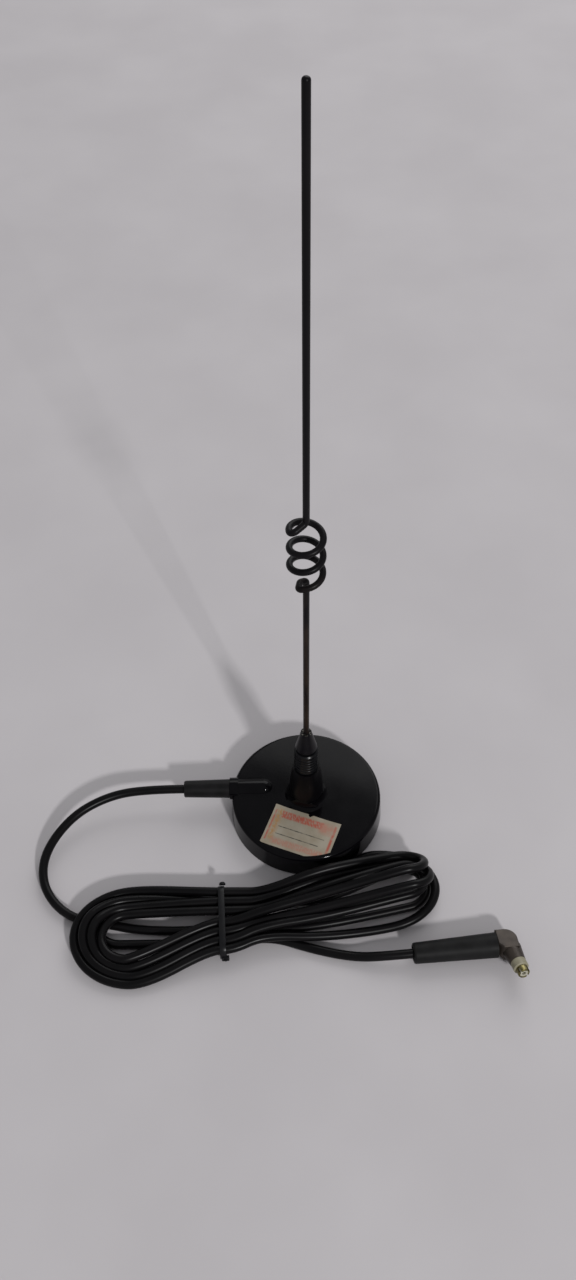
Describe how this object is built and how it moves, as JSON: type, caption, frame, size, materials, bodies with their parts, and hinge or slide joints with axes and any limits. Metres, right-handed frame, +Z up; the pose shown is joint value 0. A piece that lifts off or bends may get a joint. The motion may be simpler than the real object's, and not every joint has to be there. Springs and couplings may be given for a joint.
{
  "type": "magnetic mount whip antenna",
  "caption": "Magnetic-mount whip antenna: round base with a flared boss and ribbed collar, thin whip with an open coil, and a tied coax lead ending in a right-angle plug.",
  "frame": {"origin": "middle of the underside of the base, on the surface it holds to", "axes": "+Z up along the whip; the coax leaves the base towards -X; +Y points away from the hank"},
  "size_m": [0.2613, 0.1523, 0.4233],
  "materials": {
    "base_shell": "glossy moulded black",
    "pad": "thin matt black pad",
    "magnet": "dark grey ferrite",
    "pole_steel": "zinc-plated sheet",
    "insulation_card": "thin fibre disc",
    "relief_rubber": "satin black",
    "coax_jacket": "glossy black jacket",
    "coax_insulation": "off-white foam",
    "copper": "bare copper",
    "stud_brass": "plain brass",
    "washer_steel": "plain steel",
    "collar_plastic": "satin black with ribs",
    "ferrule_metal": "black finish, worn bare on the top face",
    "whip_coating": "black coating with slight brown wear",
    "label_paper": "off-white with warm red bands",
    "tie_plastic": "black",
    "boot_rubber": "satin black",
    "plug_nickel": "dark nickel-bronze plate",
    "ring_plastic": "off-white",
    "contact_brass": "bright brass"
  },
  "bodies": {
    "root": {"base_pad": "pad", "ring_magnet": "magnet", "pole_plate": "pole_steel", "insulating_disc": "insulation_card", "base_cover": "base_shell", "strain_relief": "relief_rubber", "coax_jacket_end": "coax_jacket", "coax_dielectric": "coax_insulation", "coax_core": "copper", "coax_braid_tail": "copper", "base_stud": "stud_brass", "stud_nut": "stud_brass", "lock_washer": "washer_steel", "solder_lug": "stud_brass", "coupling_collar": "collar_plastic", "whip_ferrule": "ferrule_metal", "whip": "whip_coating", "price_label": "label_paper", "cable_hank": "coax_jacket", "cable_tie": "tie_plastic", "cable_lead": "coax_jacket", "cable_tail": "coax_jacket", "plug_boot": "boot_rubber", "plug_elbow": "plug_nickel", "plug_insulator_ring": "ring_plastic", "plug_collet": "contact_brass", "plug_dielectric": "coax_insulation", "plug_pin": "contact_brass"}
  },
  "joints": []
}
